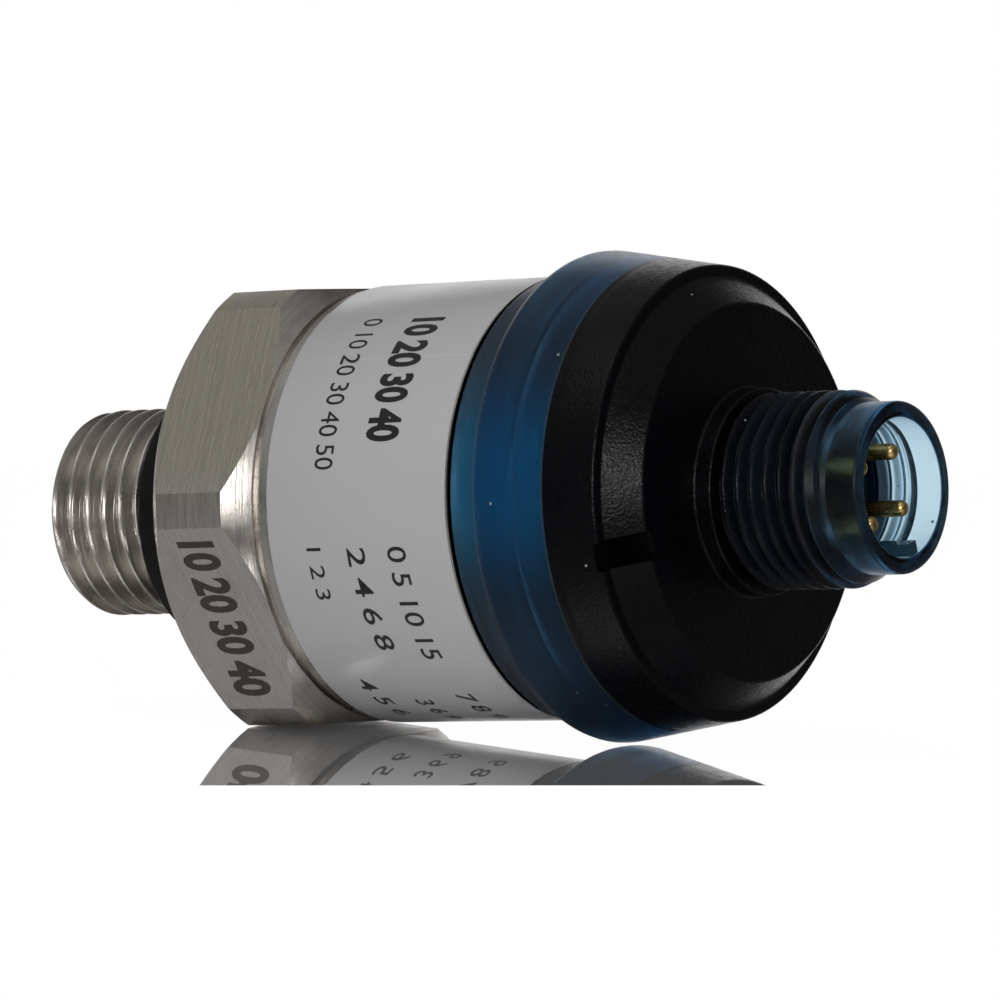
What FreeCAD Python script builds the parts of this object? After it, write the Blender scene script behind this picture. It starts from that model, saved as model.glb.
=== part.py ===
"""Pressure transmitter: G 1/4 stud, hexagon, labelled steel housing and a moulded head with an M12 plug.

The part's axis is +X, from the stud to the plug, and +Z is up, square to two of the hexagon's flats.
The origin lies on the axis in the plane of the seal collar's rim, where the part meets its port.
All lengths are millimetres. An angle "round the axis" is counted from +Z towards -Y.
"""

import FreeCAD
import Part

import math
import os

# --- Process fitting: stud, seal collar, hexagon -------------------------------------------------
stud_length = 12.0  # collar rim to stud end
thread_radius = 6.5785  # G 1/4 major radius; the thread itself is left off
stud_end_chamfer = 0.3
neck_depth = 0.9285  # undercut between thread and collar
neck_length = 3.9
collar_thickness = 2.0
collar_rim_width = 0.85
ring_groove_width = 2.95
ring_groove_depth = 1.5
port_radius = 1.75
port_mouth_chamfer = 0.5

bar_height = 1.5  # of the round bar over the tube; the flats milled on it are flush with the tube
hexagon_length = 7.85
front_chamfer_length = 1.5
front_chamfer_height = 1.6
back_cone_length = 1.3

weld_groove_width = 0.4
weld_groove_depth = 0.3
fitting_spigot_play = 0.05  # inside the housing tube
fitting_spigot_wall = 2.75  # wall round the clamp ring's thread
clamp_thread_step = 0.55  # from the cell's bore out to the clamp ring's thread

# --- Profile ring on the stud's undercut ----------------------------------------------------------
seal_thickness = 1.5
seal_groove_play = 0.2
seal_play = 0.15  # radial play on the undercut
seal_gap = 1.9  # how far the ring has slid off the collar
seal_cant_deg = 2.2  # the ring sits slightly askew
seal_bevel = 0.25

# --- Measuring cell and what clamps it ------------------------------------------------------------
cell_play = 0.2
cell_body_thickness = 6.0
diaphragm_thickness = 0.35
cell_notch_radius = 0.8
cell_notches = 3
cell_vent_radius = 0.5
cell_floor_thickness = 3.2  # steel between the collar's back and the cell's face
chamber_depth = 0.6
chamber_land = 0.8  # steel between the pressure chamber and the O-ring groove
cell_seal_inset = 0.6  # from the cell's edge in to the O-ring groove
cell_seal_width = 2.0
cell_seal_height = 1.4
support_ring_thickness = 0.75
support_ring_width = 2.3
clamp_ring_width = 3.3
clamp_ring_thickness = 3.0
spanner_slots = 4
spanner_slot_width = 1.6
spanner_slot_depth = 1.2

# --- Housing tube and label -----------------------------------------------------------------------
tube_radius = 13.5
tube_wall_at_spigot = 0.95
label_margin = 0.8  # bare steel between weld groove and label
label_length = 13.55
label_thickness = 0.15
label_overlap_thickness = 0.05
label_overlap_from_deg = 29.0
label_overlap_deg = 20.5
lip_gap = 0.1
lip_width = 0.22
lip_height = 0.25
tube_spigot_step = 0.6  # from the tube's outside down to its spigot under the head
tube_spigot_wall = 1.7
tube_spigot_length = 9.28
snap_groove_from_lip = 4.2
snap_groove_width = 0.6
snap_groove_depth = 0.3
seal_seat_length = 1.8  # step at the tube's end for the head's O-ring
seal_seat_depth = 1.1

# --- Head moulding --------------------------------------------------------------------------------
head_turn_deg = 15.0  # plug, key and notch are turned this far round the axis
head_gap = 0.23  # between lip and head
neck_skirt_wall = 0.85
neck_skirt_length = 2.15
head_shoulder_height = 1.35
head_shoulder_rounding = 0.8
head_cone_length = 8.44
head_cone_height = 1.34
step_height = 0.71
bevel_length = 1.96
bevel_height = 1.67
notch_width = 1.8
notch_depth = 0.48  # below the edge of the front face
notch_back = 0.35  # how far the notch reaches behind the step
base_ring_radius = 6.3
base_ring_length = 1.2
plug_thread_radius = 5.97  # M12 x 1 crest radius; the thread itself is left off
plug_thread_length = 6.3
plug_thread_chamfer = 1.2
plug_nose_radius = 5.19
plug_length = 10.84  # front face of the head to the plug's rim
rim_bevel = 0.25
socket_radius = 4.2
socket_depth = 8.5
key_width = 0.9
key_height = 0.8
key_setback = 0.1
head_bore_play = 0.1
snap_bead_play = 0.1
shoulder_gap = 0.2  # tube end to head shoulder
carrier_pocket_depth = 1.9

# --- Contact carrier and contacts -----------------------------------------------------------------
carrier_play = 0.2
carrier_plate_thickness = 1.6
carrier_skirt_wall = 1.4
carrier_boss_play = 0.1
carrier_shoulder_height = 1.1
carrier_nose_play = 0.1
carrier_groove_depth = 0.7
carrier_groove_width = 1.2
carrier_groove_from_end = 1.2
vent_radius = 0.45
membrane_radius = 1.5
membrane_thickness = 0.25

contact_count = 4
contact_circle_radius = 2.5
contact_radius = 0.5
contact_tip_recess = 1.24
contact_tip_bevel = 0.3
contact_collar_radius = 0.8
contact_collar_length = 1.5
contact_collar_from_nose_end = 1.8
contact_play = 0.03
contact_tail_radius = 0.35
contact_tail_proud = 0.6  # tail that stands out under the board

# --- Boards and their parts -----------------------------------------------------------------------
board_play = 0.2
board_thickness = 1.2
board_hole_play = 0.08
board_seat_thickness = 1.7
board_ring_wall = 1.2
board_spacer_length = 8.8
cell_lead_radius = 0.3
cell_lead_pitch = 1.5
cell_lead_count = 4
cell_lead_clearance = 0.92  # to the clamp ring's inside
cell_lead_proud = 0.8
link_pin_radius = 0.3
link_pin_pitch = 2.0
link_pin_count = 5
link_pin_clearance = 1.38  # to the carrier skirt's inside
link_pin_proud = 0.6
amplifier_size = (1.5, 3.9, 4.9)
amplifier_place = (0.0, 1.0)
controller_size = (1.0, 5.0, 5.0)
driver_size = (1.6, 6.5, 3.5)
chip_clearance = 0.98  # from a chip's corners to the round wall beside it
chip_leg_size = (0.2, 1.0, 0.4)
amplifier_leg_pitch = 1.27
amplifier_legs_a_side = 4
driver_leg_pitch = 2.3
driver_legs = 3
capacitor_size = (1.4, 1.6, 3.2)
capacitor_places = ((-5.9, 2.4), (5.9, 2.4), (-5.9, -1.6), (5.9, -1.6))

# --- Places along the axis ------------------------------------------------------------------------
hexagon_x = collar_thickness
hexagon_end_x = hexagon_x + hexagon_length
tube_x = hexagon_end_x + weld_groove_width
cell_x = hexagon_x + cell_floor_thickness
cell_back_x = cell_x + diaphragm_thickness + cell_body_thickness
clamp_x = cell_back_x + support_ring_thickness
clamp_end_x = clamp_x + clamp_ring_thickness

label_x = tube_x + label_margin
label_end_x = label_x + label_length
lip_x = label_end_x + lip_gap
lip_end_x = lip_x + lip_width
snap_x = lip_end_x + snap_groove_from_lip
tube_end_x = lip_end_x + tube_spigot_length

head_x = lip_end_x + head_gap
head_shoulder_x = head_x + neck_skirt_length
head_step_x = head_shoulder_x + head_cone_length
head_face_x = head_step_x + bevel_length
head_inner_shoulder_x = tube_end_x + shoulder_gap
pocket_end_x = head_inner_shoulder_x + carrier_pocket_depth
plug_end_x = head_face_x + plug_length
socket_floor_x = plug_end_x - socket_depth
contact_tip_x = plug_end_x - contact_tip_recess

signal_board_x = clamp_end_x + board_seat_thickness
output_board_x = signal_board_x + board_thickness + board_spacer_length
output_board_end_x = output_board_x + board_thickness

# --- Sizes that follow from those above -----------------------------------------------------------
across_flats = 2 * tube_radius
bar_radius = tube_radius + bar_height
neck_radius = thread_radius - neck_depth
ring_groove_radius = neck_radius + ring_groove_width
collar_radius = ring_groove_radius + collar_rim_width
seal_radius = ring_groove_radius - seal_groove_play

tube_bore_radius = tube_radius - tube_wall_at_spigot
fitting_spigot_radius = tube_bore_radius - fitting_spigot_play
clamp_ring_radius = fitting_spigot_radius - fitting_spigot_wall
clamp_ring_inner_radius = clamp_ring_radius - clamp_ring_width
cell_bore_radius = clamp_ring_radius - clamp_thread_step
cell_radius = cell_bore_radius - cell_play
cell_seal_outer_radius = cell_radius - cell_seal_inset
cell_seal_inner_radius = cell_seal_outer_radius - cell_seal_width
chamber_radius = cell_seal_inner_radius - chamber_land

tube_spigot_radius = tube_radius - tube_spigot_step
tube_upper_bore_radius = tube_spigot_radius - tube_spigot_wall
seal_seat_radius = tube_spigot_radius - seal_seat_depth
head_bore_radius = tube_spigot_radius + head_bore_play
neck_skirt_radius = head_bore_radius + neck_skirt_wall
head_radius = neck_skirt_radius + head_shoulder_height
head_cone_end_radius = head_radius - head_cone_height
step_radius = head_cone_end_radius - step_height
bevel_end_radius = step_radius - bevel_height

board_radius = tube_upper_bore_radius - board_play
board_ring_inner_radius = board_radius - board_ring_wall
carrier_radius = tube_upper_bore_radius - carrier_play
carrier_skirt_inner_radius = carrier_radius - carrier_skirt_wall
carrier_pocket_radius = carrier_radius - carrier_shoulder_height
carrier_nose_radius = socket_radius - carrier_nose_play

AXIS_START = FreeCAD.Vector(0, 0, 0)
AXIS_DIRECTION = FreeCAD.Vector(1, 0, 0)
SIDEWAYS = FreeCAD.Vector(0, 1, 0)


# --- Shape helpers --------------------------------------------------------------------------------
def corner_arc(before, corner, after, radius):
    """Start, middle and end of the arc that rounds one corner of an outline."""
    to_before = (before - corner).normalize()
    to_after = (after - corner).normalize()
    half_angle = to_before.getAngle(to_after) / 2
    reach = radius / math.tan(half_angle)
    depth = radius / math.sin(half_angle) - radius
    middle = corner + (to_before + to_after).normalize() * depth
    return corner + to_before * reach, middle, corner + to_after * reach


def outline_wire(outline):
    """Closed wire in the XZ plane through (x, radius) or (x, radius, rounding) points."""
    points = [FreeCAD.Vector(point[0], 0, point[1]) for point in outline]
    roundings = [point[2] if len(point) > 2 else 0 for point in outline]
    stops = []
    arcs = []
    for i, corner in enumerate(points):
        after = points[(i + 1) % len(points)]
        if roundings[i]:
            start, middle, end = corner_arc(points[i - 1], corner, after, roundings[i])
            arcs.append(Part.Arc(start, middle, end).toShape())
        else:
            start = corner
            end = corner
        stops.append((start, end))
    lines = []
    for i, (start, end) in enumerate(stops):
        lines.append(Part.makeLine(end, stops[(i + 1) % len(stops)][0]))
    return Part.Wire(Part.__sortEdges__(lines + arcs))


def turned(outline, degrees=360):
    """Solid turned about the part's axis."""
    return Part.Face(outline_wire(outline)).revolve(AXIS_START, AXIS_DIRECTION, degrees)


def ring(x, x_end, inner, outer):
    """Ring or tube with a rectangular section."""
    return turned([(x, inner), (x_end, inner), (x_end, outer), (x, outer)])


def squeezed_ring(x, x_end, inner, outer):
    """O-ring pressed flat inside and outside, in the gland that it fills."""
    middle = (inner + outer) / 2
    flank = (x_end - x) / 4
    return turned([
        (x, middle),
        (x + flank, inner),
        (x_end - flank, inner),
        (x_end, middle),
        (x_end - flank, outer),
        (x + flank, outer),
    ])


def disc(x, x_end, radius):
    """Plain disc on the axis."""
    return Part.makeCylinder(radius, x_end - x, FreeCAD.Vector(x, 0, 0), AXIS_DIRECTION)


def rod(x, x_end, radius, y, z):
    """Round rod beside the axis."""
    return Part.makeCylinder(radius, x_end - x, FreeCAD.Vector(x, y, z), AXIS_DIRECTION)


def block(x, size, place):
    """Box of (thickness, width, height) that stands at x, centred on place in Y and Z."""
    thickness, width, height = size
    corner = FreeCAD.Vector(x, place[0] - width / 2, place[1] - height / 2)
    return Part.makeBox(thickness, width, height, corner)


def radial_block(x, x_end, inner, outer, width, degrees):
    """Box that reaches from one radius to another, turned round the axis."""
    corner = FreeCAD.Vector(x, -width / 2, inner)
    box = Part.makeBox(x_end - x, width, outer - inner, corner)
    return round_axis(box, degrees)


def round_axis(shape, degrees):
    """Copy of the shape, turned round the part's axis from +Z towards -Y."""
    copy = shape.copy()
    copy.rotate(AXIS_START, AXIS_DIRECTION, degrees)
    return copy


def with_head(shape):
    """Turn what follows the plug's coding: contacts, boards and leads."""
    return round_axis(shape, head_turn_deg)


def row(count, pitch):
    """Places of a centred row."""
    return [(i - (count - 1) / 2) * pitch for i in range(count)]


def edge_inside(radius, width, clearance):
    """How far from the axis a straight edge of this width may lie inside a round wall."""
    return math.sqrt(radius**2 - (width / 2) ** 2) - clearance


# --- Process side ---------------------------------------------------------------------------------
def hexagon_prism():
    """Endless hexagon bar with flats towards +Z and -Z."""
    corner_radius = across_flats / math.sqrt(3)
    corners = []
    for i in range(7):
        angle = math.radians(60 * i)
        y = corner_radius * math.cos(angle)
        z = corner_radius * math.sin(angle)
        corners.append(FreeCAD.Vector(hexagon_x, y, z))
    face = Part.Face(Part.makePolygon(corners))
    return face.extrude(FreeCAD.Vector(hexagon_length, 0, 0))


def hexagon():
    """Hexagon cut on round bar, chamfered in front and coned down to the tube behind."""
    front_radius = bar_radius - front_chamfer_height
    turned_bar = turned([
        (hexagon_x, 0),
        (hexagon_x, front_radius),
        (hexagon_x + front_chamfer_length, bar_radius),
        (hexagon_end_x - back_cone_length, bar_radius),
        (hexagon_end_x, tube_radius),
        (hexagon_end_x, 0),
    ])
    return turned_bar.common(hexagon_prism())


def stud_and_collar():
    """Stud with its undercut, and the collar with the groove that takes the profile ring."""
    end_x = -stud_length
    runout = thread_radius - neck_radius
    return turned([
        (end_x, 0),
        (end_x, thread_radius - stud_end_chamfer),
        (end_x + stud_end_chamfer, thread_radius),
        (-neck_length - runout, thread_radius),
        (-neck_length, neck_radius),
        (ring_groove_depth, neck_radius),
        (ring_groove_depth, ring_groove_radius),
        (0, ring_groove_radius),
        (0, collar_radius),
        (hexagon_x, collar_radius),
        (hexagon_x, 0),
    ])


def fitting_spigot():
    """Spigot that the housing tube is pushed on, with the relief for the weld."""
    relief_radius = tube_radius - weld_groove_depth
    return turned([
        (hexagon_end_x, 0),
        (hexagon_end_x, relief_radius),
        (tube_x, relief_radius),
        (tube_x, fitting_spigot_radius),
        (clamp_end_x, fitting_spigot_radius),
        (clamp_end_x, 0),
    ])


def fitting_hollow():
    """Port, pressure chamber, O-ring groove, cell bore and clamp ring thread."""
    end_x = -stud_length
    chamber_x = cell_x - chamber_depth
    port = turned([
        (end_x, 0),
        (end_x, port_radius + port_mouth_chamfer),
        (end_x + port_mouth_chamfer, port_radius),
        (chamber_x, port_radius),
        (chamber_x, chamber_radius),
        (cell_x, chamber_radius),
        (cell_x, cell_bore_radius),
        (clamp_x, cell_bore_radius),
        (clamp_x, clamp_ring_radius),
        (clamp_end_x, clamp_ring_radius),
        (clamp_end_x, 0),
    ])
    return port.fuse(cell_seal_groove())


def cell_seal_groove():
    return ring(cell_x - cell_seal_height, cell_x, cell_seal_inner_radius, cell_seal_outer_radius)


def process_fitting():
    body = stud_and_collar().fuse([hexagon(), fitting_spigot()])
    return body.cut(fitting_hollow()).removeSplitter()


def seal_ring():
    """Profile ring, bevelled outside, that has slid along the undercut and sits askew on it."""
    x_end = -seal_gap
    x = x_end - seal_thickness
    inner = neck_radius + seal_play
    shape = turned([
        (x, inner),
        (x_end, inner),
        (x_end, seal_radius - seal_bevel),
        (x_end - seal_bevel, seal_radius),
        (x + seal_bevel, seal_radius),
        (x, seal_radius - seal_bevel),
    ])
    middle = FreeCAD.Vector(x + seal_thickness / 2, 0, 0)
    shape.rotate(middle, SIDEWAYS, seal_cant_deg)
    return shape


# --- Measuring cell -------------------------------------------------------------------------------
def cell_diaphragm():
    return disc(cell_x, cell_x + diaphragm_thickness, cell_radius)


def cell_body():
    """Ceramic base body with its vent and its index notches."""
    x = cell_x + diaphragm_thickness
    body = disc(x, cell_back_x, cell_radius).cut(disc(x, cell_back_x, cell_vent_radius))
    for i in range(cell_notches):
        notch = rod(x, cell_back_x, cell_notch_radius, 0, cell_radius)
        body = body.cut(round_axis(notch, i * 360 / cell_notches))
    return body


def cell_o_ring():
    """O-ring in its groove, squeezed by the cell."""
    x = cell_x - cell_seal_height
    return squeezed_ring(x, cell_x, cell_seal_inner_radius, cell_seal_outer_radius)


def cell_support_ring():
    return ring(cell_back_x, clamp_x, cell_radius - support_ring_width, cell_radius)


def clamp_ring():
    """Threaded ring with spanner slots in its back face."""
    shape = ring(clamp_x, clamp_end_x, clamp_ring_inner_radius, clamp_ring_radius)
    for i in range(spanner_slots):
        slot = radial_block(
            clamp_end_x - spanner_slot_depth,
            clamp_end_x,
            clamp_ring_inner_radius - cell_play,
            clamp_ring_radius + cell_play,
            spanner_slot_width,
            45 + i * 360 / spanner_slots,
        )
        shape = shape.cut(slot)
    return shape


def cell_lead_rods(x, x_end, radius):
    """Row of rods at the places of the cell's leads, just inside the clamp ring."""
    row_width = (cell_lead_count - 1) * cell_lead_pitch
    z = -edge_inside(clamp_ring_inner_radius, row_width, cell_lead_clearance + cell_lead_radius)
    return [rod(x, x_end, radius, y, z) for y in row(cell_lead_count, cell_lead_pitch)]


def cell_leads():
    """Row of leads from the cell's back through the signal board."""
    end_x = signal_board_x + board_thickness + cell_lead_proud
    return with_head(Part.makeCompound(cell_lead_rods(cell_back_x, end_x, cell_lead_radius)))


# --- Housing and label ----------------------------------------------------------------------------
def housing_tube():
    """Tube on the fitting's spigot, with the lip, the spigot under the head and its O-ring seat."""
    snap_radius = tube_spigot_radius - snap_groove_depth
    seat_x = tube_end_x - seal_seat_length
    bore_step_x = clamp_end_x
    return turned([
        (tube_x, tube_bore_radius),
        (tube_x, tube_radius),
        (lip_x, tube_radius),
        (lip_x, tube_radius + lip_height),
        (lip_end_x, tube_radius + lip_height),
        (lip_end_x, tube_spigot_radius),
        (snap_x, tube_spigot_radius),
        (snap_x, snap_radius),
        (snap_x + snap_groove_width, snap_radius),
        (snap_x + snap_groove_width, tube_spigot_radius),
        (seat_x, tube_spigot_radius),
        (seat_x, seal_seat_radius),
        (tube_end_x, seal_seat_radius),
        (tube_end_x, tube_upper_bore_radius),
        (bore_step_x, tube_upper_bore_radius),
        (bore_step_x, tube_bore_radius),
    ])


def label():
    """Film round the tube, with the strip where its end laps over its start."""
    outer = tube_radius + label_thickness
    film = ring(label_x, label_end_x, tube_radius, outer)
    lap_outline = [
        (label_x, tube_radius),
        (label_end_x, tube_radius),
        (label_end_x, outer + label_overlap_thickness),
        (label_x, outer + label_overlap_thickness),
    ]
    lap = turned(lap_outline, label_overlap_deg)
    return film.fuse(round_axis(lap, label_overlap_from_deg)).removeSplitter()


# --- Head moulding --------------------------------------------------------------------------------
def head_outside():
    """Neck, tapered head, step and bevel, base ring, thread cylinder and nose as one turned form."""
    base_end_x = head_face_x + base_ring_length
    thread_end_x = base_end_x + plug_thread_length
    return turned([
        (head_x, 0),
        (head_x, neck_skirt_radius),
        (head_shoulder_x, neck_skirt_radius),
        (head_shoulder_x, head_radius, head_shoulder_rounding),
        (head_step_x, head_cone_end_radius),
        (head_step_x, step_radius),
        (head_face_x, bevel_end_radius),
        (head_face_x, base_ring_radius),
        (base_end_x, base_ring_radius),
        (base_end_x, plug_thread_radius),
        (thread_end_x, plug_thread_radius),
        (thread_end_x + plug_thread_chamfer, plug_nose_radius),
        (plug_end_x - rim_bevel, plug_nose_radius),
        (plug_end_x, plug_nose_radius - rim_bevel),
        (plug_end_x, 0),
    ])


def head_hollow():
    """Bore over the tube's spigot with its snap bead, carrier pocket and socket."""
    bead_middle_x = snap_x + snap_groove_width / 2
    bead_half_width = snap_groove_width / 2 - snap_bead_play
    bead_radius = tube_spigot_radius - snap_groove_depth + snap_bead_play
    return turned([
        (head_x, 0),
        (head_x, head_bore_radius),
        (bead_middle_x - bead_half_width, head_bore_radius),
        (bead_middle_x, bead_radius),
        (bead_middle_x + bead_half_width, head_bore_radius),
        (head_inner_shoulder_x, head_bore_radius),
        (head_inner_shoulder_x, carrier_pocket_radius),
        (pocket_end_x, carrier_pocket_radius),
        (pocket_end_x, socket_radius),
        (plug_end_x, socket_radius),
        (plug_end_x, 0),
    ])


def index_notch():
    """Slot through the step and the bevel, square to the plug's key."""
    beyond = 1.0
    return radial_block(
        head_step_x - notch_back,
        head_face_x + beyond,
        bevel_end_radius - notch_depth,
        head_radius + beyond,
        notch_width,
        head_turn_deg + 90,
    )


def coding_key():
    """Rib inside the socket that codes the plug."""
    rib = radial_block(
        socket_floor_x,
        plug_end_x - key_setback,
        socket_radius - key_height,
        plug_nose_radius,
        key_width,
        head_turn_deg + 180,
    )
    wall_middle_radius = (socket_radius + plug_nose_radius) / 2
    return rib.common(disc(socket_floor_x, plug_end_x, wall_middle_radius))


def head_cap():
    shell = head_outside().cut(head_hollow()).cut(index_notch())
    return shell.fuse(coding_key()).removeSplitter()


def head_o_ring():
    """O-ring on the tube's end step, squeezed by the head's bore."""
    x = tube_end_x - seal_seat_length
    return squeezed_ring(x, tube_end_x, seal_seat_radius, head_bore_radius)


# --- Contact carrier and contacts -----------------------------------------------------------------
def contact_places():
    """Angles of the contacts round the axis, with the key halfway between two of them."""
    step = 360 / contact_count
    return [head_turn_deg + step / 2 + step * i for i in range(contact_count)]


def beside_axis(x, x_end, radius, degrees):
    """Round rod on the contact circle."""
    return round_axis(rod(x, x_end, radius, 0, contact_circle_radius), degrees)


def contact_collar_end():
    return socket_floor_x - contact_collar_from_nose_end


def contact_pin(degrees):
    """Turned pin: round tip, retaining collar and thinner tail through the output board."""
    collar_end_x = contact_collar_end()
    profile = [
        (output_board_x - contact_tail_proud, 0),
        (output_board_x - contact_tail_proud, contact_tail_radius),
        (output_board_end_x, contact_tail_radius),
        (output_board_end_x, contact_radius),
        (collar_end_x - contact_collar_length, contact_radius),
        (collar_end_x - contact_collar_length, contact_collar_radius),
        (collar_end_x, contact_collar_radius),
        (collar_end_x, contact_radius),
        (contact_tip_x - contact_tip_bevel, contact_radius),
        (contact_tip_x, contact_radius - contact_tip_bevel),
        (contact_tip_x, 0),
    ]
    shape = turned(profile)
    shape.translate(FreeCAD.Vector(0, 0, contact_circle_radius))
    return round_axis(shape, degrees)


def carrier_plate_x():
    return head_inner_shoulder_x - carrier_plate_thickness


def contact_carrier():
    """Carrier with a skirt down to the output board, a boss in the head and a nose in the socket."""
    plate_x = carrier_plate_x()
    boss_radius = carrier_pocket_radius - carrier_boss_play
    groove_end_x = socket_floor_x - carrier_groove_from_end
    groove_x = groove_end_x - carrier_groove_width
    groove_radius = carrier_nose_radius - carrier_groove_depth
    body = turned([
        (plate_x, 0),
        (plate_x, carrier_skirt_inner_radius),
        (output_board_end_x, carrier_skirt_inner_radius),
        (output_board_end_x, carrier_radius),
        (head_inner_shoulder_x, carrier_radius),
        (head_inner_shoulder_x, boss_radius),
        (pocket_end_x, boss_radius),
        (pocket_end_x, carrier_nose_radius),
        (groove_x, carrier_nose_radius),
        (groove_x, groove_radius),
        (groove_end_x, groove_radius),
        (groove_end_x, carrier_nose_radius),
        (socket_floor_x, carrier_nose_radius),
        (socket_floor_x, 0),
    ])
    body = body.cut(disc(plate_x, socket_floor_x, vent_radius))
    for degrees in contact_places():
        hole = beside_axis(plate_x, socket_floor_x, contact_radius + contact_play, degrees)
        pocket_radius = contact_collar_radius + contact_play
        pocket = beside_axis(plate_x, contact_collar_end(), pocket_radius, degrees)
        body = body.cut(hole.fuse(pocket))
    return body


def carrier_o_ring():
    """O-ring in the carrier nose's groove, squeezed by the socket's wall."""
    x_end = socket_floor_x - carrier_groove_from_end
    inner = carrier_nose_radius - carrier_groove_depth
    return squeezed_ring(x_end - carrier_groove_width, x_end, inner, socket_radius)


def vent_membrane():
    x_end = carrier_plate_x()
    return disc(x_end - membrane_thickness, x_end, membrane_radius)


# --- Boards ---------------------------------------------------------------------------------------
def board_seat_ring():
    return ring(clamp_end_x, signal_board_x, board_ring_inner_radius, board_radius)


def board_spacer():
    x = signal_board_x + board_thickness
    return ring(x, output_board_x, board_ring_inner_radius, board_radius)


def link_pin_rods(x, x_end, radius):
    """Row of rods at the places of the pins between the boards."""
    row_width = (link_pin_count - 1) * link_pin_pitch
    clearance = link_pin_clearance + link_pin_radius
    z = edge_inside(carrier_skirt_inner_radius, row_width, clearance)
    return [rod(x, x_end, radius, y, z) for y in row(link_pin_count, link_pin_pitch)]


def link_holes(x):
    return link_pin_rods(x, x + board_thickness, link_pin_radius + board_hole_play)


def signal_board():
    x = signal_board_x
    holes = cell_lead_rods(x, x + board_thickness, cell_lead_radius + board_hole_play)
    return with_head(disc(x, x + board_thickness, board_radius).cut(holes + link_holes(x)))


def output_board():
    x = output_board_x
    board = with_head(disc(x, output_board_end_x, board_radius).cut(link_holes(x)))
    hole_radius = contact_tail_radius + board_hole_play
    for degrees in contact_places():
        board = board.cut(beside_axis(x, output_board_end_x, hole_radius, degrees))
    return board


def link_pins():
    """Pin row between the two boards."""
    x = signal_board_x - link_pin_proud
    x_end = output_board_end_x + link_pin_proud
    return with_head(Part.makeCompound(link_pin_rods(x, x_end, link_pin_radius)))


def amplifier_chip():
    """Small outline package with legs on two sides."""
    x = signal_board_x + board_thickness
    width = amplifier_size[1]
    shape = block(x, amplifier_size, amplifier_place)
    for z in row(amplifier_legs_a_side, amplifier_leg_pitch):
        span = (chip_leg_size[0], width + 2 * chip_leg_size[1], chip_leg_size[2])
        shape = shape.fuse(block(x, span, (amplifier_place[0], amplifier_place[1] + z)))
    return with_head(shape.removeSplitter())


def controller_chip():
    """Leadless package under the output board, with its pin-one dimple."""
    thickness, width, height = controller_size
    x = output_board_x - thickness
    z = height / 2 - edge_inside(board_ring_inner_radius, width, chip_clearance)
    dimple = rod(x, x + thickness * 0.1, width * 0.06, -width * 0.35, z + height * 0.35)
    return with_head(block(x, controller_size, (0, z)).cut(dimple))


def output_driver():
    """Power package on the output board, with three legs on one side."""
    x = output_board_end_x
    leg_thickness, leg_length, leg_width = chip_leg_size
    body_end_z = -edge_inside(carrier_skirt_inner_radius, driver_size[1], chip_clearance)
    shape = block(x, driver_size, (0, body_end_z + driver_size[2] / 2))
    for y in row(driver_legs, driver_leg_pitch):
        leg = (leg_thickness, leg_width * 2, leg_length)
        shape = shape.fuse(block(x, leg, (y, body_end_z - leg_length / 2)))
    return with_head(shape.removeSplitter())


def board_capacitors():
    parts = [block(output_board_end_x, capacitor_size, place) for place in capacitor_places]
    return with_head(Part.makeCompound(parts))


# --- Output ---------------------------------------------------------------------------------------
def all_parts():
    parts = {
        "process_fitting": process_fitting(),
        "seal_ring": seal_ring(),
        "cell_diaphragm": cell_diaphragm(),
        "cell_body": cell_body(),
        "cell_o_ring": cell_o_ring(),
        "cell_support_ring": cell_support_ring(),
        "clamp_ring": clamp_ring(),
        "cell_leads": cell_leads(),
        "housing_tube": housing_tube(),
        "label": label(),
        "head_cap": head_cap(),
        "head_o_ring": head_o_ring(),
        "contact_carrier": contact_carrier(),
        "carrier_o_ring": carrier_o_ring(),
        "vent_membrane": vent_membrane(),
        "board_seat_ring": board_seat_ring(),
        "signal_board": signal_board(),
        "amplifier_chip": amplifier_chip(),
        "board_spacer": board_spacer(),
        "link_pins": link_pins(),
        "output_board": output_board(),
        "controller_chip": controller_chip(),
        "output_driver": output_driver(),
        "board_capacitors": board_capacitors(),
    }
    for number, degrees in enumerate(contact_places(), start=1):
        parts[f"contact_pin_{number}"] = contact_pin(degrees)
    return parts


os.makedirs("parts", exist_ok=True)
for name, shape in all_parts().items():
    shape.exportStep(f"parts/{name}.step")
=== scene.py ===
"""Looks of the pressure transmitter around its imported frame.

The part's axis is +X, from the stud to the plug. Sizes are in millimetres and become metres in the
meshes; materials read places in metres. An angle round the axis is counted from +Z towards -Y, as
in the part's source.
"""

import math

import bmesh
import bpy
from mathutils import Matrix, Vector

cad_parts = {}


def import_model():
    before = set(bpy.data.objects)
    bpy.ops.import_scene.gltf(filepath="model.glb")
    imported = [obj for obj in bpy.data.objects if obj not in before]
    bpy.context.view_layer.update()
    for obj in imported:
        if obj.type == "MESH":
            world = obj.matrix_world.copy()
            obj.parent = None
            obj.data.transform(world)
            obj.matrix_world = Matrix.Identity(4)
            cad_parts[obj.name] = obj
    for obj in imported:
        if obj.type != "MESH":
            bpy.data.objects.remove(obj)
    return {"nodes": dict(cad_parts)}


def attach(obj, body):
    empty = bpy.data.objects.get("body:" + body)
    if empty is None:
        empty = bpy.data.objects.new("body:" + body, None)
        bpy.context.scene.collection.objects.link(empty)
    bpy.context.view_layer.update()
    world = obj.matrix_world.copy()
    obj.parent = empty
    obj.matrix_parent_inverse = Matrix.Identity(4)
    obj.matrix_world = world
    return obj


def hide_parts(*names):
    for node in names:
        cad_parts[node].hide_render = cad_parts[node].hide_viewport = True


MM = 0.001
BODY = "root"
SEGMENTS = 256  # columns round the axis
SHARP_ANGLE = math.radians(20)
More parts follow.
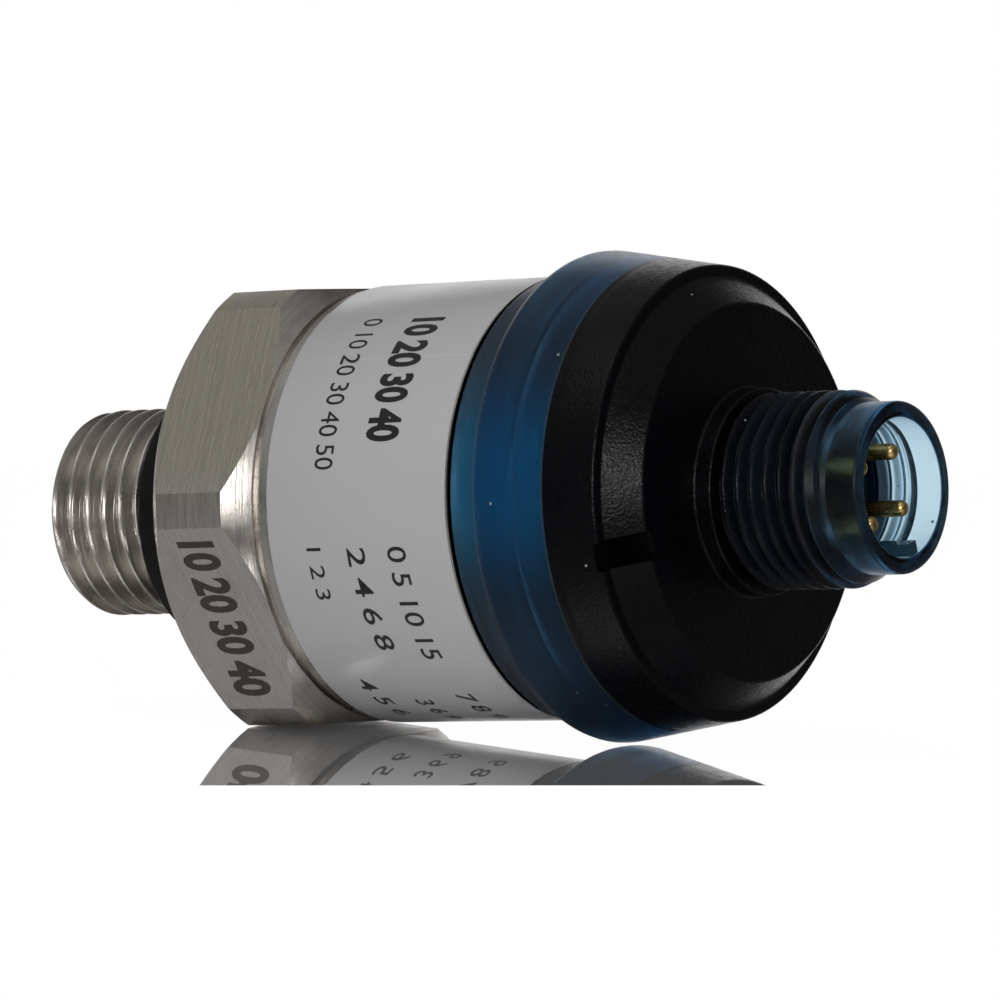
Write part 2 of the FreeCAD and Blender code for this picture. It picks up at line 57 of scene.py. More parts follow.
MERGE_DISTANCE = 1e-7

# --- Sizes of the process fitting (mm) ------------------------------------------------------------
STUD_END = -12.0
STUD_CHAMFER = 0.3
THREAD_RADIUS = 6.5785
THREAD_PITCH = 1.337
THREAD_DEPTH = 0.856
THREAD_HALF_ANGLE = math.radians(27.5)
THREAD_CREST_AT = -10.36  # a crest's place on the viewer's side
THREAD_ROWS = 18  # rows of the mesh in one turn
THREAD_UNDER_NECK = 0.03  # how far the roots may dip under the neck
NECK_RADIUS = 5.65
NECK_END = -3.9
PORT_RADIUS = 1.75
PORT_CHAMFER = 0.5
COLLAR_RADIUS = 9.45
COLLAR_END = 2.0
RING_GROOVE_RADIUS = 8.6
RING_GROOVE_DEPTH = 1.5
ACROSS_FLATS = 27.0
BAR_RADIUS = 15.0
FRONT_CHAMFER_LENGTH = 1.5
FRONT_CHAMFER_HEIGHT = 1.6
BACK_CONE_LENGTH = 1.3
HEXAGON_END = 9.85
WELD_GROOVE_DEPTH = 0.3
FITTING_SPIGOT_RADIUS = 12.5
FITTING_END = 15.3
CLAMP_START = 12.3
CLAMP_RING_RADIUS = 9.75
CELL_FACE = 5.2
CELL_BORE_RADIUS = 9.2
CELL_SEAL_OUTER_RADIUS = 8.4
CELL_SEAL_INNER_RADIUS = 6.4
CELL_SEAL_FLOOR = 3.8
CHAMBER_RADIUS = 5.6
CHAMBER_FLOOR = 4.6

# --- Sizes of the seal ring, tube and label (mm) --------------------------------------------------
SEAL_START = -3.4
SEAL_END = -1.9
SEAL_PLAY = 0.15
SEAL_GROOVE_PLAY = 0.2
SEAL_CANT = math.radians(2.2)
TUBE_START = 10.25
TUBE_RADIUS = 13.5
TUBE_END = 34.2
TUBE_BORE_RADIUS = 12.55
TUBE_UPPER_BORE_RADIUS = 11.2
LABEL_START = 11.05
LABEL_END = 24.6
LABEL_RADIUS = 13.65
LABEL_COLUMNS = 720
LAP_START = 29.0  # degrees round the axis
LAP_END = 49.5
LAP_RAMP = 0.5
LAP_HEIGHT = 0.05
LIP_START = 24.7
LIP_END = 24.92
LIP_RADIUS = 13.75
SPIGOT_RADIUS = 12.9
SNAP_GROOVE_START = 29.12
SNAP_GROOVE_END = 29.72
SNAP_HEIGHT = 0.3  # of the groove and of the head's bead in it
SEAL_SEAT_START = 32.4
SEAL_SEAT_RADIUS = 11.8

# --- Sizes of the head (mm) -----------------------------------------------------------------------
HEAD_START = 25.15
HEAD_TURN = 15.0  # degrees round the axis
SKIRT_RADIUS = 13.85
SHOULDER = 27.3
HEAD_RADIUS = 15.2
STEP = 35.74
CONE_END_RADIUS = 13.86
STEP_RADIUS = 13.15
FACE = 37.7
FACE_RADIUS = 11.48
NOTCH_HALF_WIDTH = 0.9
NOTCH_BACK = 0.35  # how far the notch reaches behind the step
NOTCH_FLOOR = 11.0
BEYOND = 1.0  # how far a cutting tool stands out of what it cuts
PLUG_BASE_END = 38.9
PLUG_BASE_RADIUS = 6.3
PLUG_THREAD_RADIUS = 5.97
PLUG_THREAD_DEPTH = 0.61
PLUG_THREAD_PITCH = 1.0
PLUG_THREAD_HALF_ANGLE = math.radians(30.0)
PLUG_CREST_AT = 39.54
PLUG_THREAD_ROWS = 16
PLUG_THREAD_END = 45.2
PLUG_THREAD_CHAMFER = 1.2
PLUG_LEAD_IN = 1.4  # rise of the thread's first crests for each mm along the axis
PLUG_UNDER_ROOT = 0.02  # how far under the roots they start
NOSE_START = 46.4
NOSE_RADIUS = 5.19
PLUG_END = 48.54
SOCKET_RADIUS = 4.2
SOCKET_FLOOR = 40.04
KEY_HALF_WIDTH = 0.45
KEY_HEIGHT = 0.8
KEY_SETBACK = 0.1
KEY_ROOT_RADIUS = 4.7  # inside the nose's wall
HEAD_BORE_RADIUS = 13.0
SNAP_BEAD_START = 29.22
SNAP_BEAD_TOP = 29.42
SNAP_BEAD_END = 29.62
HEAD_INNER_SHOULDER = 34.4
POCKET_RADIUS = 9.9
POCKET_END = 36.3

# --- Sizes of the carrier and contacts (mm) -------------------------------------------------------
OUTPUT_BOARD_END = 28.2  # the carrier's skirt and the thick part of the contacts start on it
CARRIER_RADIUS = 11.0
CARRIER_SKIRT_BORE_RADIUS = 9.6
CARRIER_PLATE_START = 32.8
CARRIER_BOSS_RADIUS = 9.8
CARRIER_NOSE_RADIUS = 4.1
CARRIER_GROOVE_START = 37.64
CARRIER_GROOVE_END = 38.84
CARRIER_GROOVE_RADIUS = 3.4
VENT_RADIUS = 0.45
CONTACT_COLUMNS = 48
CONTACT_CIRCLE = 2.5
CONTACT_FIRST_AT = 45.0  # degrees from the head's own zero
CONTACT_RADIUS = 0.5
CONTACT_TAIL_START = 26.4
CONTACT_TAIL_RADIUS = 0.35
CONTACT_COLLAR_START = 36.74
CONTACT_COLLAR_END = 38.24
CONTACT_COLLAR_RADIUS = 0.8
CONTACT_TIP = 47.3
CONTACT_CORE_RADIUS = 0.02  # hair-thin hole that closes the turned mesh

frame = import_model()
bpy.context.scene.view_settings.view_transform = "Standard"
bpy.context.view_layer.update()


# --- Mesh helpers ---------------------------------------------------------------------------------
def rounded(outline, steps=6):
    """Outline of (x, radius) points with each (x, radius, rounding) corner turned into an arc."""
    points = []
    for i, corner in enumerate(outline):
        here = Vector(corner[:2])
        if len(corner) < 3:
            points.append(tuple(here))
            continue
        before = (Vector(outline[i - 1][:2]) - here).normalized()
        after = (Vector(outline[(i + 1) % len(outline)][:2]) - here).normalized()
        half = before.angle(after) / 2
        centre = here + (before + after).normalized() * (corner[2] / math.sin(half))
        start = here + before * (corner[2] / math.tan(half)) - centre
        end = here + after * (corner[2] / math.tan(half)) - centre
        sweep = start.angle_signed(end)
        for k in range(steps + 1):
            turn = Matrix.Rotation(-sweep * k / steps, 2)
            points.append(tuple(centre + turn @ start))
    return points


def on_axis(x, radius, angle):
    """Point at a place along the axis, a radius and an angle round the axis in radians."""
    return Vector((x, -radius * math.sin(angle), radius * math.cos(angle))) * MM


def ring_rows(outline, columns=SEGMENTS):
    """Rows of (x, radius) for every column of a plain turned outline."""
    return [[point] * columns for point in outline]


def thread_profile(offset, pitch, crest, root, half_angle):
    """Radius of a thread with rounded crests and roots, at an offset from a crest."""
    offset = abs((offset / pitch + 0.5) % 1.0 - 0.5) * pitch
    slope = math.tan(half_angle)
    middle = (crest + root) / 2
    sharp_top = middle + pitch / (4 * slope)
    rounding = (sharp_top - crest) / (1 / math.sin(half_angle) - 1)
    reach = rounding * math.cos(half_angle)
    if offset < reach:
        return crest - rounding + math.sqrt(rounding**2 - offset**2)
    if pitch / 2 - offset < reach:
        return root + rounding - math.sqrt(rounding**2 - (pitch / 2 - offset) ** 2)
    return sharp_top - offset / slope


def build_turned(name, sections, columns=SEGMENTS):
    """Closed mesh from sections, each with its rows and the rows that one turn shifts."""
    mesh = bmesh.new()
    previous_end = None
    first_start = None
    for rows, shift in sections:
        grid = [
            [mesh.verts.new(on_axis(*row[j], 2 * math.pi * j / columns)) for j in range(columns)]
            for row in rows
        ]
        for k in range(len(grid) - 1):
            for j in range(columns):
                wraps = j + 1 == columns
                low = min(k + shift, len(grid) - 1) if wraps else k
                high = min(k + 1 + shift, len(grid) - 1) if wraps else k + 1
                corners = [grid[k][j], grid[low][(j + 1) % columns]]
                corners += [grid[high][(j + 1) % columns], grid[k + 1][j]]
                unique = list(dict.fromkeys(corners))
                if len(unique) >= 3:
                    mesh.faces.new(unique)
        if previous_end:
            bridge(mesh, previous_end, grid[0])
        first_start = first_start or grid[0]
        previous_end = grid[-1]
    bridge(mesh, previous_end, first_start)
    bmesh.ops.remove_doubles(mesh, verts=mesh.verts, dist=MERGE_DISTANCE)
    bmesh.ops.recalc_face_normals(mesh, faces=mesh.faces)
    return finished(name, mesh)


def bridge(mesh, ring, other):
    """Quads between two rings of the same number of vertices."""
    count = len(ring)
    for j in range(count):
        k = (j + 1) % count
        mesh.faces.new((ring[j], ring[k], other[k], other[j]))


def finished(name, mesh):
    """Object from a bmesh, smooth but for its sharp edges."""
    data = bpy.data.meshes.new(name)
    mesh.to_mesh(data)
    mesh.free()
    piece = bpy.data.objects.new(name, data)
    bpy.context.scene.collection.objects.link(piece)
    shade(piece)
    return piece


def shade(piece):
    """Smooth shading that breaks at sharp edges."""
    piece.data.shade_smooth()
    piece.data.set_sharp_from_angle(angle=SHARP_ANGLE)


def turned(name, outline, columns=SEGMENTS):
    """Closed turned piece from an outline that goes once round its section."""
    return build_turned(name, [(ring_rows(rounded(outline), columns), 0)], columns)


def thread_rows(start, end, pitch, crest, depth, half_angle, crest_at, envelope, per_turn):
    """Rows that follow a right-hand thread from start to end, held under an envelope radius."""
    root = crest - depth
    count = math.ceil(per_turn * ((end - start) / pitch + 1)) + 1
    crest_at_top = crest_at - pitch / 4
    rows = []
    for k in range(count):
        row = []
        for j in range(SEGMENTS):
            turn = j / SEGMENTS
            x = start - pitch + pitch * (k / per_turn + turn)
            x = min(max(x, start), end)
            offset = x - crest_at_top - pitch * turn
            radius = thread_profile(offset, pitch, crest, root, half_angle)
            row.append((x, min(radius, envelope(x))))
        rows.append(row)
    return rows


def box_mesh(name, low, high, degrees):
    """Box between two corners in mm, turned round the axis."""
    mesh = bmesh.new()
    corners = bmesh.ops.create_cube(mesh, size=1.0)["verts"]
    for vertex in corners:
        place = [low[i] + (high[i] - low[i]) * (vertex.co[i] + 0.5) for i in range(3)]
        vertex.co = Matrix.Rotation(math.radians(degrees), 3, "X") @ Vector(place) * MM
    return finished(name, mesh)


def apply_boolean(piece, tool, operation):
    """Cut or join with the exact solver; the tool goes away."""
    modifier = piece.modifiers.new("cut", "BOOLEAN")
    modifier.operation = operation
    modifier.solver = "EXACT"
    modifier.object = tool
    depsgraph = bpy.context.evaluated_depsgraph_get()
    data = bpy.data.meshes.new_from_object(piece.evaluated_get(depsgraph))
    piece.modifiers.clear()
    piece.data = data
    bpy.data.objects.remove(tool)
    shade(piece)


def wear(piece, *materials):
    """Give a piece these materials and no others."""
    piece.data.materials.clear()
    for material in materials:
        piece.data.materials.append(material)


def seat(piece, slot, *nodes):
    """The piece rides on the part and stands for CAD nodes; the slot is not used."""
    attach(piece, BODY)
    if nodes:
        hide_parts(*nodes)


# --- Node helpers ---------------------------------------------------------------------------------
class Tree:
    """Short way to build the nodes of a material or a world."""

    def __init__(self, owner):
        """Start with an empty node tree."""
        owner.use_nodes = True
        self.tree = owner.node_tree
        self.tree.nodes.clear()

    def add(self, kind, **settings):
        """New node with its settings."""
        node = self.tree.nodes.new(kind)
        for key, value in settings.items():
            setattr(node, key, value)
        return node

    def link(self, node, output, other, socket):
        """Link a node's output to another node's input, by name or number."""
        self.tree.links.new(node.outputs[output], other.inputs[socket])

    def feed(self, value, socket):
        """Link an output, or write a constant, to any input socket."""
        if isinstance(value, bpy.types.NodeSocket):
            self.tree.links.new(value, socket)
        else:
            socket.default_value = value

    def math(self, operation, first, second=0.0, third=0.0):
        """Result of a math node."""
        node = self.add("ShaderNodeMath", operation=operation)
        for socket, value in zip(node.inputs, (first, second, third)):
            self.feed(value, socket)
        return node.outputs[0]

    def times(self, first, second):
        """Product of two values."""
        return self.math("MULTIPLY", first, second)

    def plus(self, first, second):
        """Sum of two values."""
        return self.math("ADD", first, second)

    def without(self, value):
        """One less a value."""
        return self.math("SUBTRACT", 1.0, value)

    def span(self, value, low, high, to_low=0.0, to_high=1.0):
        """Map a value smoothly from one span to another, clamped."""
        node = self.add("ShaderNodeMapRange", interpolation_type="SMOOTHSTEP")
        self.feed(value, node.inputs["Value"])
        ends = {"From Min": low, "From Max": high, "To Min": to_low, "To Max": to_high}
        for key, number in ends.items():
            node.inputs[key].default_value = number
        return node.outputs["Result"]


class Nodes(Tree):
    """A material with one principled shader, and places along and across the part."""

    def __init__(self, name):
        """Start with the shader, the output and the object's coordinates."""
        self.material = bpy.data.materials.new(name)
        super().__init__(self.material)
        self.output = self.add("ShaderNodeOutputMaterial")
        self.shader = self.add("ShaderNodeBsdfPrincipled")
        self.link(self.shader, "BSDF", self.output, "Surface")
        self.place = self.add("ShaderNodeTexCoord").outputs["Object"]
        split = self.add("ShaderNodeSeparateXYZ")
        self.feed(self.place, split.inputs[0])
        self.x = split.outputs["X"]
        self.y = split.outputs["Y"]
        self.z = split.outputs["Z"]

    def mapped(self, scale=(1.0, 1.0, 1.0), tilt=0.0):
        """The place, turned about Y by some degrees and scaled."""
        node = self.add("ShaderNodeMapping")
        node.inputs["Rotation"].default_value = (0.0, math.radians(tilt), 0.0)
        node.inputs["Scale"].default_value = scale
        self.feed(self.place, node.inputs["Vector"])
        return node.outputs["Vector"]

    def noise(self, scale, detail=2.0, roughness=0.5, vector=None, along=None):
        """Noise of a scale per metre in space, or along one coordinate."""
        node = self.add("ShaderNodeTexNoise")
        node.inputs["Scale"].default_value = scale
        node.inputs["Detail"].default_value = detail
        node.inputs["Roughness"].default_value = roughness
        if along is not None:
            node.noise_dimensions = "1D"
            self.feed(along, node.inputs["W"])
        else:
            self.feed(vector or self.place, node.inputs["Vector"])
        return node.outputs["Fac"]

    def mix(self, factor, first, second):
        """Mix of two colours."""
        node = self.add("ShaderNodeMix", data_type="RGBA")
        self.feed(factor, node.inputs["Factor"])
        self.feed(first, node.inputs[6])
        self.feed(second, node.inputs[7])
        return node.outputs[2]

    def bump(self, height, strength, distance):
        """Normal of a relief; the distance is in metres."""
        node = self.add("ShaderNodeBump")
        node.inputs["Strength"].default_value = strength
        node.inputs["Distance"].default_value = distance
        self.feed(height, node.inputs["Height"])
        return node.outputs["Normal"]

    def surface(self, **sockets):
        """Feed the shader's sockets and give the material."""
        for key, value in sockets.items():
            self.feed(value, self.shader.inputs[key.replace("_", " ")])
        return self.material


def colour(red, green, blue):
    """Opaque colour of linear values."""
    return (red, green, blue, 1.0)


# --- Materials: places and distances in metres ----------------------------------------------------
WHITE = colour(1.0, 1.0, 1.0)
UPPER_FLATS = (-0.002, 0.004)  # across this height the flats turn a little greenish
PITTED = (0.004, 0.009)
GAP_PAINTED_SHADE = (0.02456, 0.02472)  # painted shade on the tube in the gap between label and lip
LIP_PAINTED_SHADE_FROM = 0.02482  # from here on the lip's back is painted dark as shade of the head
# From here on the tube's steel is painted with the light and shade seen through the head
UNDER_HEAD = 0.0251
GLOW_PAINTED_MIDDLE = 0.001  # height of the brightest painted light on the steel under the head
GLOW_PAINTED_FADE = (0.001, 0.008)  # over which that painted light fades to painted shade, up and down
OVER_SPIGOT = (0.0322, 0.0332)  # the moulding looks clear up to here
OVER_SOCKET = (0.0398, 0.0449)  # and clear again from here on
BLUE_NECK = (0.0388, 0.0435)  # between them its black turns a little blue
SOCKET_WALL = (0.0043, 0.0046)  # smooth inside, satin outside
KEY_WITHIN = 0.00417  # the key stands inside this radius
KEY_FROM = 0.0401


def turned_steel(name, tone, rough, line_strength, painted_light_from=None):
    """Stainless steel with fine lathe lines; from a given place on it lies under the blue head and
    is painted with the light and shade seen through it, and the gap before the lip and the lip's
    back get painted shade.
    """
    m = Nodes(name)
    fine = m.noise(22000.0, 2.0, 0.6, along=m.x)
    broad = m.noise(2500.0, 2.0, 0.5, along=m.x)
    clouds = m.noise(260.0, 3.0, 0.6)
    broken = m.noise(1.0, 2.0, 0.6, vector=m.mapped((9000.0, 220.0, 220.0)))
    height = m.plus(fine, m.times(broken, 0.15))
    height = m.plus(height, m.times(broad, 0.5))
    stain = m.math("MULTIPLY_ADD", broken, 0.5, m.times(clouds, 0.5))
    dark = colour(*[0.78 * c for c in tone])
    light = colour(*[1.12 * c for c in tone])
    metal = m.mix(m.span(stain, 0.3, 0.7), dark, light)
    shine = 1.0
    if painted_light_from:
        # Painted light and shade: under the head the steel is painted blue, brightest at mid-height
        # and darker above and below, with no metallic sheen
        from_middle = m.math("ABSOLUTE", m.math("SUBTRACT", m.z, GLOW_PAINTED_MIDDLE))
        painted_glow, painted_shade = colour(0.005, 0.27, 0.42), colour(0.0, 0.009, 0.028)
        under = m.mix(m.span(from_middle, *GLOW_PAINTED_FADE), painted_glow, painted_shade)
        past = m.span(m.x, painted_light_from, painted_light_from + 0.0001)
        shine = m.without(past)
        metal = m.mix(past, metal, under)
        # Painted shade: the tube in the gap between label and lip, and the lip's back near the
        # head, are painted near black
        gap_start, gap_end = GAP_PAINTED_SHADE
        gap = m.math("GREATER_THAN", m.x, gap_start)
        gap = m.times(gap, m.math("LESS_THAN", m.x, gap_end))
        lip = m.times(m.math("GREATER_THAN", m.x, LIP_PAINTED_SHADE_FROM), shine)
        metal = m.mix(m.math("MAXIMUM", gap, lip), metal, colour(0.012, 0.011, 0.010))
    return m.surface(
        Base_Color=metal,
        Metallic=shine,
        Roughness=m.span(clouds, 0.3, 0.7, rough - 0.05, rough + 0.07),
        Normal=m.bump(height, line_strength, 0.00005),
    )


def milled_steel():
    """Milled flats: fine slanting cutter lines, faint stains and a few small pits."""
    m = Nodes("milled_steel")
    slant = m.math("MULTIPLY_ADD", m.z, 0.16, m.x)
    fine = m.noise(16000.0, 2.0, 0.6, along=slant)
    broad = m.noise(1700.0, 1.0, 0.5, along=slant)
    broken = m.noise(1.0, 3.0, 0.6, vector=m.mapped((7000.0, 500.0, 500.0), tilt=9.0))
    clouds = m.noise(180.0, 3.0, 0.6)
    height = m.plus(m.times(fine, 0.5), m.times(broken, 0.9))
    height = m.plus(height, m.times(broad, 0.3))
    stained, clean = colour(0.53, 0.50, 0.478), colour(0.59, 0.555, 0.533)
    warm = m.mix(m.span(clouds, 0.35, 0.65), stained, clean)
    upper = m.span(m.z, *UPPER_FLATS)
    tone = m.mix(upper, warm, colour(0.56, 0.52, 0.435))
    wavy = m.math("MULTIPLY_ADD", broken, 0.0003, slant)
    streaks = m.span(m.noise(4200.0, 2.0, 0.6, along=wavy), 0.35, 0.65)
    streaks = m.times(streaks, m.span(upper, 0.0, 1.0, 0.12, 0.22))
    tone = m.mix(streaks, tone, colour(0.26, 0.245, 0.22))
    pits = m.span(m.noise(2600.0, 1.0, 0.5), 0.77, 0.82)
    pits = m.times(m.times(pits, m.span(m.z, *PITTED)), 0.55)
    tone = m.mix(pits, tone, colour(0.12, 0.11, 0.10))
    return m.surface(
        Base_Color=tone,
        Metallic=1.0,
        Roughness=m.span(broken, 0.3, 0.7, 0.26, 0.44),
        Normal=m.bump(height, 0.75, 0.00003),
    )


def seal_rubber():
    """Black rubber with a fine grain."""
    m = Nodes("seal_rubber")
    grain = m.noise(5200.0, 3.0, 0.6)
    return m.surface(
        Base_Color=m.mix(grain, colour(0.004, 0.0037, 0.0035), colour(0.008, 0.0075, 0.007)),
        Specular_IOR_Level=0.2,
        Roughness=m.span(grain, 0.3, 0.7, 0.38, 0.55),
        Normal=m.bump(grain, 0.15, 0.00003),
    )


def label_film():
    """Glossy pale film with a faint orange peel."""
    m = Nodes("label_film")
    peel = m.noise(420.0, 2.0, 0.5)
    clouds = m.noise(90.0, 2.0, 0.5)
    return m.surface(
        Base_Color=m.mix(clouds, colour(0.500, 0.500, 0.512), colour(0.535, 0.532, 0.542)),
        Roughness=m.span(peel, 0.3, 0.7, 0.20, 0.27),
        Normal=m.bump(peel, 0.05, 0.00004),
    )


def print_ink():
    """Black ink of the label."""
    m = Nodes("print_ink")
    grain = m.noise(9000.0, 1.0, 0.5)
    return m.surface(
        Base_Color=m.mix(grain, colour(0.008, 0.008, 0.009), colour(0.016, 0.016, 0.017)),
        Roughness=m.span(grain, 0.3, 0.7, 0.30, 0.40),
    )


def laser_mark():
    """Dark oxide left by a marking laser."""
    m = Nodes("laser_mark")
    grain = m.noise(12000.0, 2.0, 0.6)
    return m.surface(
        Base_Color=m.mix(grain, colour(0.026, 0.020, 0.017), colour(0.052, 0.042, 0.036)),
        Roughness=m.span(grain, 0.3, 0.7, 0.45, 0.60),
    )


def head_plastic():
    """Dark blue moulding with a spark-eroded satin skin and a few flecks of dust.

    It is clear over the tube's spigot and at the plug's nose and looks black between them. The key
    is opaque, and the socket's wall is smooth with faint drawn lines.
    """
    m = Nodes("head_plastic")
    grain = m.noise(5600.0, 2.0, 0.55)
    coarse = m.noise(1900.0, 2.0, 0.5)
    height = m.math("MULTIPLY_ADD", coarse, 0.35, grain)
    absorption = m.add("ShaderNodeVolumeAbsorption")
    absorption.inputs["Color"].default_value = colour(0.06, 0.52, 0.75)
    absorption.inputs["Density"].default_value = 600.0
    m.link(absorption, "Volume", m.output, "Volume")

    over_spigot = m.span(m.x, *OVER_SPIGOT, 1.0, 0.0)
    clear = m.math("MAXIMUM", over_spigot, m.span(m.x, *OVER_SOCKET))
    black, blue_black = colour(0.0012, 0.0012, 0.0022), colour(0.007, 0.013, 0.022)
    dark = m.mix(m.span(m.x, *BLUE_NECK), black, blue_black)
    body = m.mix(m.span(clear, 0.9, 1.0), dark, WHITE)
    across = m.math("SQRT", m.plus(m.times(m.y, m.y), m.times(m.z, m.z)))
    on_key = m.math("LESS_THAN", across, KEY_WITHIN)
    on_key = m.times(on_key, m.math("GREATER_THAN", m.x, KEY_FROM))
    body = m.mix(on_key, body, colour(0.016, 0.050, 0.078))

    flecks = m.add("ShaderNodeTexVoronoi")
    flecks.inputs["Scale"].default_value = 620.0
    m.feed(m.place, flecks.inputs["Vector"])
    chosen = m.add("ShaderNodeSeparateColor")
    m.link(flecks, "Color", chosen, "Color")
    reach = m.times(chosen.outputs["Green"], 0.075)
    dust = m.math("LESS_THAN", flecks.outputs["Distance"], reach)
    dust = m.times(dust, m.math("GREATER_THAN", chosen.outputs["Red"], 0.5))

    outer = m.span(across, *SOCKET_WALL, 0.10, 1.0)
    skin = m.plus(m.span(coarse, 0.3, 0.7, 0.21, 0.31), m.span(clear, 0.0, 1.0, 0.0, 0.07))
    drawn = m.noise(1.0, 3.0, 0.6, vector=m.mapped((1500.0, 4200.0, 4200.0)))
    in_bore = m.times(m.without(outer), 0.35)
    relief = m.math("MULTIPLY_ADD", drawn, in_bore, m.times(height, outer))
    relief = m.times(relief, m.span(clear, 0.0, 0.6, 1.0, 0.10))
    return m.surface(
        Base_Color=m.mix(dust, body, colour(0.30, 0.31, 0.32)),
        IOR=1.47,
        Specular_Tint=colour(0.28, 0.28, 0.28),
        Transmission_Weight=m.times(clear, m.without(m.math("MAXIMUM", dust, on_key))),
        Roughness=m.times(skin, outer),
        Normal=m.bump(relief, 0.60, 0.00006),
    )


def moulded_plastic(name, dark, light, rough):
    """Plain moulded or machined inner part."""
    m = Nodes(name)
    grain = m.noise(3000.0, 3.0, 0.6)
    return m.surface(
        Base_Color=m.mix(grain, colour(*dark), colour(*light)),
        Roughness=m.span(grain, 0.3, 0.7, rough, rough + 0.15),
        Normal=m.bump(grain, 0.1, 0.00003),
    )


def plated_metal(name, dark, light, rough):
    """Plated contacts and leads with faint drawn lines."""
    m = Nodes(name)
    lines = m.noise(9000.0, 2.0, 0.6, along=m.x)
    clouds = m.noise(900.0, 2.0, 0.5)
    return m.surface(
        Base_Color=m.mix(clouds, colour(*dark), colour(*light)),
        Metallic=1.0,
        Roughness=m.span(clouds, 0.3, 0.7, rough, rough + 0.1),
        Normal=m.bump(lines, 0.15, 0.00001),
    )


def board_laminate():
    """Green solder resist over a faint pattern of tracks."""
    m = Nodes("board_laminate")
    tracks = m.add("ShaderNodeTexBrick")
    tracks.inputs["Scale"].default_value = 500.0
    tracks.inputs["Mortar Size"].default_value = 0.03
    m.feed(m.mapped(tilt=90.0), tracks.inputs["Vector"])
    tone = m.mix(tracks.outputs["Fac"], colour(0.02, 0.15, 0.06), colour(0.03, 0.22, 0.09))
    return m.surface(Base_Color=tone, Roughness=m.span(m.noise(2000.0), 0.3, 0.7, 0.3, 0.4))


# --- Pieces ---------------------------------------------------------------------------------------
def process_fitting(steel, flats, cone):
    """Stud with its G 1/4 thread, collar, hexagon cut on round bar, spigot and bores."""

    def envelope(x):
        """Radius that the thread stays under: chamfer, crests and run-out into the neck."""
        lead_in = THREAD_RADIUS - STUD_CHAMFER + (x - STUD_END)
        run_out = NECK_RADIUS + (NECK_END - x)
        return max(min(THREAD_RADIUS, lead_in, run_out), NECK_RADIUS - THREAD_UNDER_NECK)

    thread = thread_rows(
        STUD_END, NECK_END, THREAD_PITCH, THREAD_RADIUS, THREAD_DEPTH, THREAD_HALF_ANGLE,
        THREAD_CREST_AT, envelope, THREAD_ROWS,
    )
    outer = rounded([
        (NECK_END, envelope(NECK_END)),
        (RING_GROOVE_DEPTH, NECK_RADIUS, 0.3),
        (RING_GROOVE_DEPTH, RING_GROOVE_RADIUS),
        (0.0, RING_GROOVE_RADIUS),
        (0.0, COLLAR_RADIUS, 0.15),
        (COLLAR_END, COLLAR_RADIUS, 0.1),
        (COLLAR_END, BAR_RADIUS - FRONT_CHAMFER_HEIGHT, 0.12),
        (COLLAR_END + FRONT_CHAMFER_LENGTH, BAR_RADIUS, 0.12),
        (HEXAGON_END - BACK_CONE_LENGTH, BAR_RADIUS, 0.08),
        (HEXAGON_END, TUBE_RADIUS, 0.1),
        (HEXAGON_END, TUBE_RADIUS - WELD_GROOVE_DEPTH),
        (TUBE_START, TUBE_RADIUS - WELD_GROOVE_DEPTH),
        (TUBE_START, FITTING_SPIGOT_RADIUS),
        (FITTING_END, FITTING_SPIGOT_RADIUS),
        (FITTING_END, CLAMP_RING_RADIUS),
        (CLAMP_START, CLAMP_RING_RADIUS),
        (CLAMP_START, CELL_BORE_RADIUS),
        (CELL_FACE, CELL_BORE_RADIUS),
        (CELL_FACE, CELL_SEAL_OUTER_RADIUS),
        (CELL_SEAL_FLOOR, CELL_SEAL_OUTER_RADIUS),
        (CELL_SEAL_FLOOR, CELL_SEAL_INNER_RADIUS),
        (CELL_FACE, CELL_SEAL_INNER_RADIUS),
        (CELL_FACE, CHAMBER_RADIUS),
        (CHAMBER_FLOOR, CHAMBER_RADIUS),
        (CHAMBER_FLOOR, PORT_RADIUS),
        (STUD_END + PORT_CHAMFER, PORT_RADIUS, 0.05),
        (STUD_END, PORT_RADIUS + PORT_CHAMFER, 0.05),
        (STUD_END, envelope(STUD_END)),
    ])
    piece = build_turned("fitting", [(thread, THREAD_ROWS), (ring_rows(outer), 0)])
    cut_flats(piece)
    wear(piece, steel, flats, cone)
    mark_faces(piece)
    return piece


def cut_flats(piece):
    """Mill the six flats on the round bar."""
    mesh = bmesh.new()
    mesh.from_mesh(piece.data)
    for i in range(6):
        angle = math.radians(60 * i)
        outward = on_axis(0.0, 1.0, angle).normalized()
        geometry = mesh.verts[:] + mesh.edges[:] + mesh.faces[:]
        cut = bmesh.ops.bisect_plane(
            mesh, geom=geometry, plane_co=outward * (ACROSS_FLATS / 2 * MM), plane_no=outward,
            clear_outer=True, dist=1e-8,
        )
        rim = [edge for edge in cut["geom_cut"] if isinstance(edge, bmesh.types.BMEdge)]
        bmesh.ops.holes_fill(mesh, edges=rim)
    bmesh.ops.recalc_face_normals(mesh, faces=mesh.faces)
    mesh.to_mesh(piece.data)
    mesh.free()
    shade(piece)


def mark_faces(piece):
    """Second material on the flats and what is left of the drawn bar, third on the back cone."""
    cone_start = HEXAGON_END - BACK_CONE_LENGTH - 0.01
    for face in piece.data.polygons:
        slope = face.normal.x
        radius = math.hypot(face.center.y, face.center.z)
        on_flat = abs(face.center.dot(face.normal) - ACROSS_FLATS / 2 * MM) < 1e-6
        on_bar = radius > (BAR_RADIUS - 0.02) * MM
        on_cone = cone_start < face.center.x / MM < HEXAGON_END
        if abs(slope) < 0.001 and (on_flat or on_bar):
            face.material_index = 1
        if slope > 0.3 and on_cone and radius > (TUBE_RADIUS - 0.05) * MM:
            face.material_index = 2


